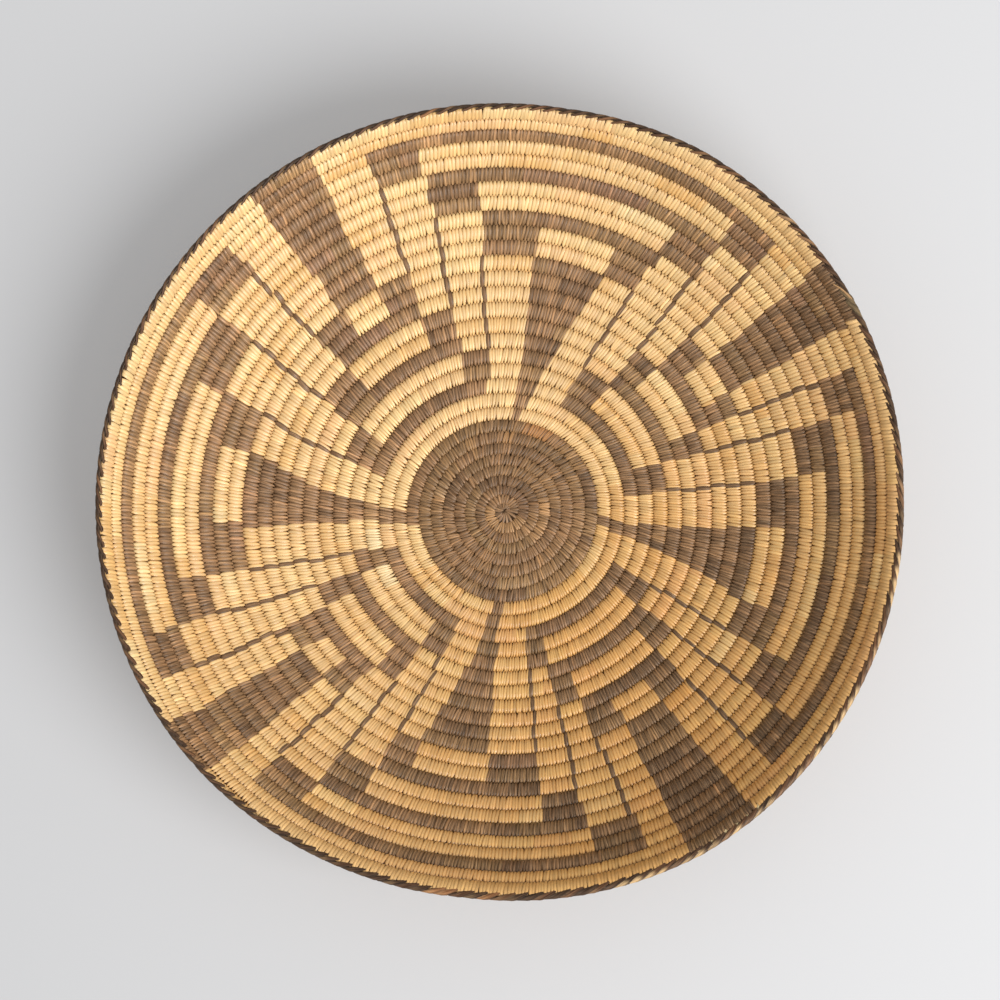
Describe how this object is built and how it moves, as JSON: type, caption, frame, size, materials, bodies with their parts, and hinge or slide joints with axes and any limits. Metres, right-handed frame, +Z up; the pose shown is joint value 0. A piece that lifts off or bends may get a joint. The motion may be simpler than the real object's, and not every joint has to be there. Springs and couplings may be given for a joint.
{
  "type": "coiled basketry tray",
  "caption": "Round coiled basketry tray of sewn splints, with a dark disc, a four-fold fret in dark splint and a braided dark rim.",
  "frame": {"origin": "start of the coil at the middle of the floor, on the surface that the tray stands on", "axes": "+Z up out of the tray's mouth; +X to the right of the picture; the coil runs anticlockwise outward, seen from +Z"},
  "size_m": [0.4008, 0.3989, 0.0685],
  "materials": {
    "pale_splint": "split willow, matt to satin, straw yellow to tan",
    "dark_splint": "split seed pod, satin, brown-black with brown mottling",
    "split_stems": "split stems, matt, brown"
  },
  "bodies": {
    "root": {"braid_tail": "dark_splint", "centre_coil": "dark_splint", "foundation": "split_stems", "rim_braid": "dark_splint", "sewn_row_01": "pale_splint", "sewn_row_02": "pale_splint", "sewn_row_03": "pale_splint", "sewn_row_04": "pale_splint", "sewn_row_05": "pale_splint", "sewn_row_06": "pale_splint", "sewn_row_07": "pale_splint", "sewn_row_08": "pale_splint", "sewn_row_09": "pale_splint", "sewn_row_10": "pale_splint", "sewn_row_11": "pale_splint", "sewn_row_12": "pale_splint", "sewn_row_13": "pale_splint", "sewn_row_14": "pale_splint", "sewn_row_15": "pale_splint", "sewn_row_16": "pale_splint", "sewn_row_17": "pale_splint", "sewn_row_18": "pale_splint", "sewn_row_19": "pale_splint", "sewn_row_20": "pale_splint", "sewn_row_21": "pale_splint", "sewn_row_22": "pale_splint", "start_knot": "dark_splint"}
  },
  "joints": []
}
